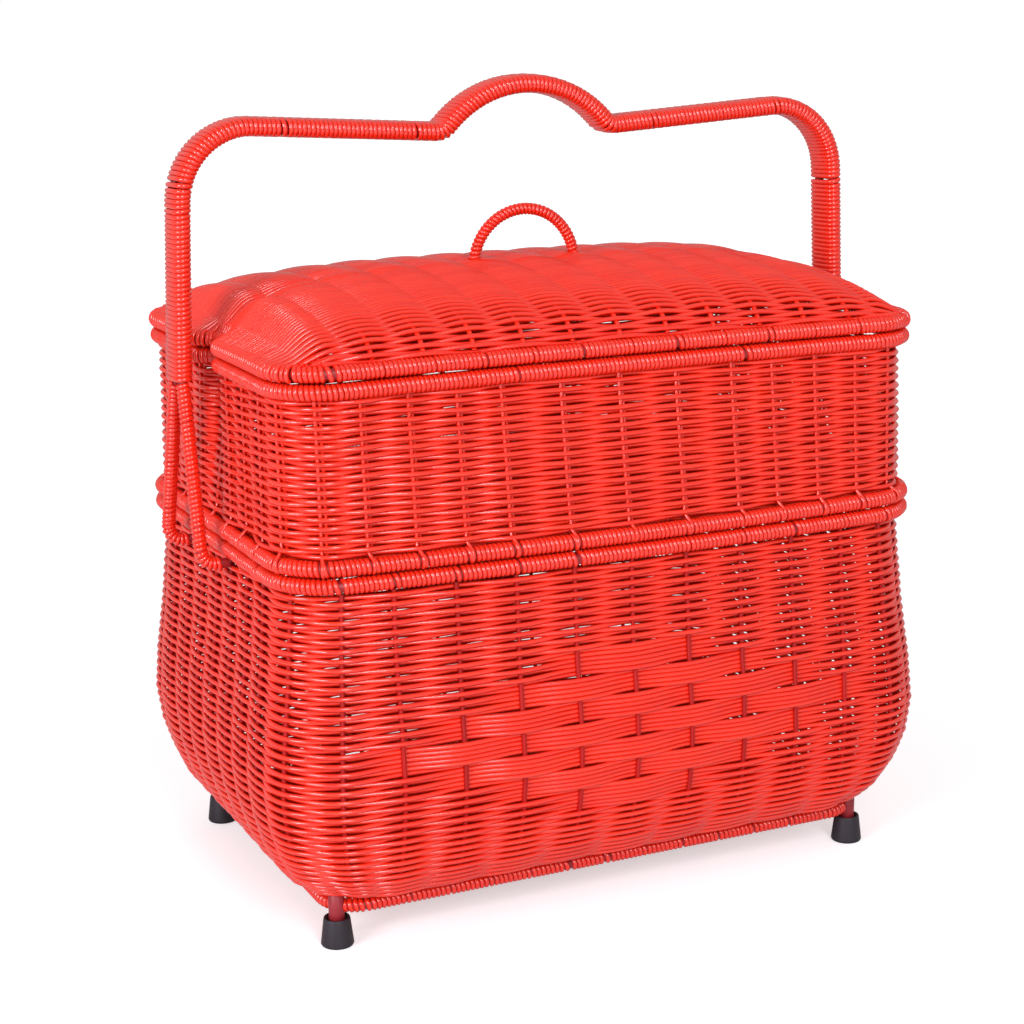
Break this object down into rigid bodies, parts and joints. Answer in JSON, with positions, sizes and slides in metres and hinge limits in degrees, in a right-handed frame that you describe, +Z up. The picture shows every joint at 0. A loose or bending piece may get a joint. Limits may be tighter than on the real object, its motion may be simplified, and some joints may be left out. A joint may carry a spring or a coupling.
{
  "type": "tiered woven storage basket",
  "caption": "Two-tier woven storage basket: a deep lower basket with a fixed carry handle, a lift-off tray and a domed lift-off lid with a finger loop.",
  "frame": {"origin": "on the floor, in the middle of the basket's plan", "axes": "+X along the basket's width and the handle bar, +Y from the front to the back, +Z up"},
  "size_m": [0.4682, 0.3108, 0.5],
  "materials": {
    "weave": "satin",
    "wrap": "satin",
    "wire": "satin",
    "rubber": "matte"
  },
  "bodies": {
    "basket": {"lower_wall": "weave", "lower_top_rim": "wrap", "leg_front_left": "wire", "leg_front_right": "wire", "leg_back_left": "wire", "leg_back_right": "wire", "foot_cap_front_left": "rubber", "foot_cap_front_right": "rubber", "foot_cap_back_left": "rubber", "foot_cap_back_right": "rubber", "foot_rail_front": "wrap", "foot_rail_right": "wrap", "foot_rail_back": "wrap", "foot_rail_left": "wrap", "lower_floor": "weave", "lower_floor_wire_left": "wire", "lower_floor_wire_right": "wire", "handle_grip_wrap": "wrap", "handle_wire_front": "wire", "handle_wire_back": "wire", "prong_wrap_front_left": "wrap", "prong_wrap_front_right": "wrap", "prong_wrap_back_left": "wrap", "prong_wrap_back_right": "wrap"},
    "tray": {"tray_wall": "weave", "tray_bottom_rim": "wrap", "tray_top_rim": "wrap", "tray_floor": "weave", "tray_floor_wire_left": "wire", "tray_floor_wire_right": "wire"},
    "lid": {"lid_weave": "weave", "lid_rim": "wrap", "lid_rib_left": "wire", "lid_rib_right": "wire", "lid_loop_wire": "wire", "lid_loop_wrap": "wrap"}
  },
  "joints": [
    {"name": "tray_lift", "type": "slide", "parent": "basket", "child": "tray", "axis": [0, 0, 1], "range_m": [0, 0.03]},
    {"name": "lid_lift", "type": "slide", "parent": "tray", "child": "lid", "axis": [0, 0, 1], "range_m": [0, 0.03]}
  ]
}
